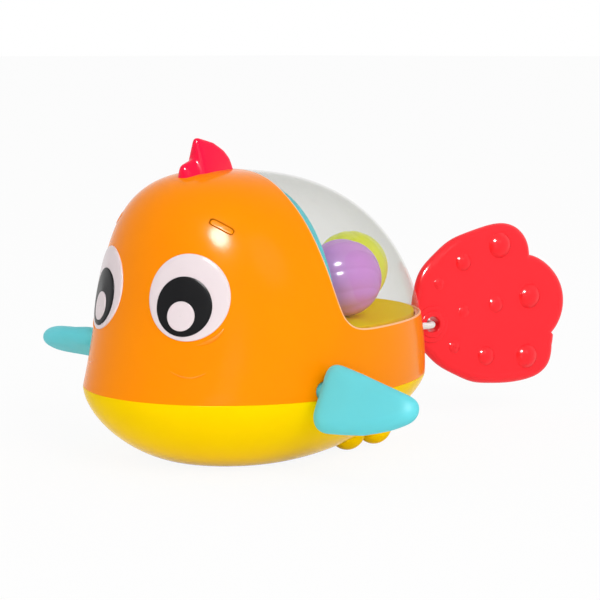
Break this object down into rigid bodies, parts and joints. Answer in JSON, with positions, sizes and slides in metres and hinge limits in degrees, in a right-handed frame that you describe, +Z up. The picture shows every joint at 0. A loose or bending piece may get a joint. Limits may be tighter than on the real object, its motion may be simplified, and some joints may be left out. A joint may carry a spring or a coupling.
{
  "type": "fish bath toy",
  "caption": "Floating fish bath toy: moulded shell and hull, clear dome with rattle balls, pull-cord tail that winds a spring drum and turns the paddle fins.",
  "frame": {"origin": "on the flat base, under the body axis", "axes": "+Z up from the base, -Y towards the nose, +X towards the fish's left"},
  "size_m": [0.1904, 0.2097, 0.1111],
  "materials": {
    "orange_plastic": "glossy moulded plastic",
    "yellow_plastic": "glossy moulded plastic",
    "clear_plastic": "clear moulded plastic",
    "teal_plastic": "glossy moulded plastic",
    "red_plastic": "satin moulded plastic",
    "crimson_plastic": "glossy moulded plastic",
    "white_plastic": "glossy moulded plastic",
    "black_plastic": "glossy moulded plastic",
    "purple_plastic": "glossy moulded plastic",
    "lime_plastic": "glossy moulded plastic",
    "frame_plastic": "plain moulded plastic",
    "gear_plastic": "natural moulded plastic",
    "steel": "plain steel",
    "brass": "turned brass",
    "cord": "braided white cord"
  },
  "bodies": {
    "body": {"upper_shell": "orange_plastic", "lower_hull": "yellow_plastic", "clear_dome": "clear_plastic", "chamber_wall": "teal_plastic", "ball_tray": "yellow_plastic", "crest": "crimson_plastic", "left_eye": "white_plastic", "right_eye": "white_plastic", "left_pupil": "black_plastic", "right_pupil": "black_plastic", "chassis": "frame_plastic", "left_gear_plate": "frame_plastic", "right_gear_plate": "frame_plastic", "idler_axle": "steel", "mainspring": "steel", "left_fin_bush": "brass", "right_fin_bush": "brass", "cord_grommet": "white_plastic", "ballast_weight": "steel", "chassis_screw_1": "steel", "chassis_screw_2": "steel", "chassis_screw_3": "steel", "chassis_screw_4": "steel", "plate_spacer_1": "frame_plastic", "plate_bolt_1": "steel", "plate_spacer_2": "frame_plastic", "plate_bolt_2": "steel", "plate_spacer_3": "frame_plastic", "plate_bolt_3": "steel"},
    "drum": {"cord_drum": "frame_plastic", "cord_winding": "cord", "drum_shaft": "steel", "drum_gear": "gear_plastic"},
    "idler": {"idler_gear": "gear_plastic"},
    "fins": {"fin_shaft": "steel", "fin_pinion": "gear_plastic", "left_fin": "teal_plastic", "right_fin": "teal_plastic"},
    "cord": {"pull_cord": "cord"},
    "loop": {"cord_loop": "cord"},
    "tail": {"tail_fin": "red_plastic"},
    "purple_ball": {"purple_ball": "purple_plastic"},
    "lime_ball": {"lime_ball": "lime_plastic"}
  },
  "joints": [
    {"name": "tail_pull", "type": "slide", "parent": "body", "child": "cord", "axis": [0, 1, 0], "range_m": [0, 0.15], "stiffness_N_per_m": 20, "springref_m": -0.05, "deforming": ["pull_cord"]},
    {"name": "loop_swing", "type": "hinge", "parent": "cord", "child": "loop", "pos_m": [0, 0.08128, 0.0375], "axis": [0, 0, 1], "range_deg": [-17, 53]},
    {"name": "tail_tilt", "type": "hinge", "parent": "loop", "child": "tail", "pos_m": [0.00389, 0.09326, 0.0375], "axis": [0.9511, -0.309, 0], "range_deg": [-35, 35]},
    {"name": "drum_spin", "type": "hinge", "parent": "body", "child": "drum", "pos_m": [0, 0.03243, 0.0265], "axis": [-1, 0, 0], "range_deg": [0, 785]},
    {"name": "idler_spin", "type": "hinge", "parent": "body", "child": "idler", "pos_m": [0, 0.00847, 0.02788], "axis": [-1, 0, 0], "range_deg": [-1308, 0]},
    {"name": "fin_spin", "type": "hinge", "parent": "body", "child": "fins", "pos_m": [0, -0.011, 0.029], "axis": [-1, 0, 0], "range_deg": [0, 1121]},
    {"name": "purple_ball_roll", "type": "slide", "parent": "body", "child": "purple_ball", "axis": [0, -1, 0], "range_m": [0, 0.007]},
    {"name": "lime_ball_roll", "type": "slide", "parent": "body", "child": "lime_ball", "axis": [-1, 0, 0], "range_m": [0, 0.013]}
  ],
  "couplings": [
    {"joint": "drum_spin", "follows": "tail_pull", "rad_per_m": 90.909},
    {"joint": "idler_spin", "follows": "tail_pull", "rad_per_m": -151.52},
    {"joint": "fin_spin", "follows": "tail_pull", "rad_per_m": 129.87}
  ]
}
